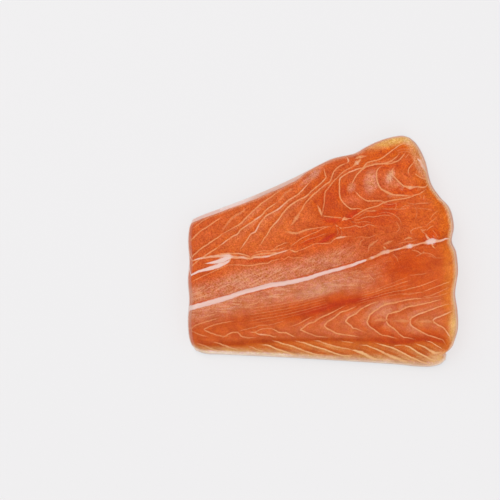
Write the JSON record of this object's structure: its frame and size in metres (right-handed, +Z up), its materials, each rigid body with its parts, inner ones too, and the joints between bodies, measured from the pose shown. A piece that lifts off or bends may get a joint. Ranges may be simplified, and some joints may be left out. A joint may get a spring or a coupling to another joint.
{
  "type": "salmon fillet",
  "caption": "Raw skin-on salmon fillet from the tail end of a side, flesh upwards on its skin, with white sheets of fat in curves and chevrons across the cut face.",
  "frame": {"origin": "on the surface that the fillet lies on, under the middle of its bounding box", "axes": "+X from the narrow tail cut to the wide cut, +Y from the back edge to the belly edge, +Z up from the skin to the cut face"},
  "size_m": [0.1268, 0.1084, 0.0177],
  "materials": {
    "flesh": "moist orange muscle with pale sheets of fat",
    "skin": "silvery scales, darker towards the back edge, with a moist sheen"
  },
  "bodies": {
    "root": {"flesh": "flesh", "skin": "skin"}
  },
  "joints": []
}
